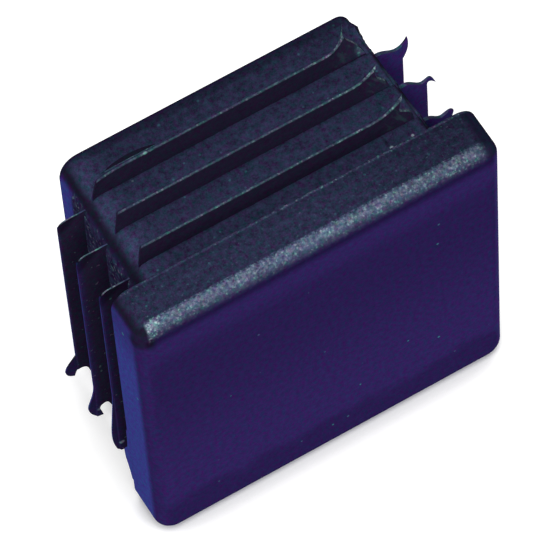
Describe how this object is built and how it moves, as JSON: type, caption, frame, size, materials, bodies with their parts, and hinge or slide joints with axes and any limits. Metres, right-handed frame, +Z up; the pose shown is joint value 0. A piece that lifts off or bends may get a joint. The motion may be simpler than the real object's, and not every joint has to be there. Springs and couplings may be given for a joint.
{
  "type": "tube end cap",
  "caption": "Square push-in end cap for square tube: a rounded head on a hollow finned plug that grips the inside of the tube.",
  "frame": {"origin": "centre of the flat outer face of the head", "axes": "+Y runs from the outer face back into the tube, +Z is up and +X to the right, along two sides of the square head"},
  "size_m": [0.0409, 0.0234, 0.0401],
  "materials": {
    "black_plastic": "satin moulded black plastic"
  },
  "bodies": {
    "root": {"tube_end_cap": "black_plastic"}
  },
  "joints": []
}
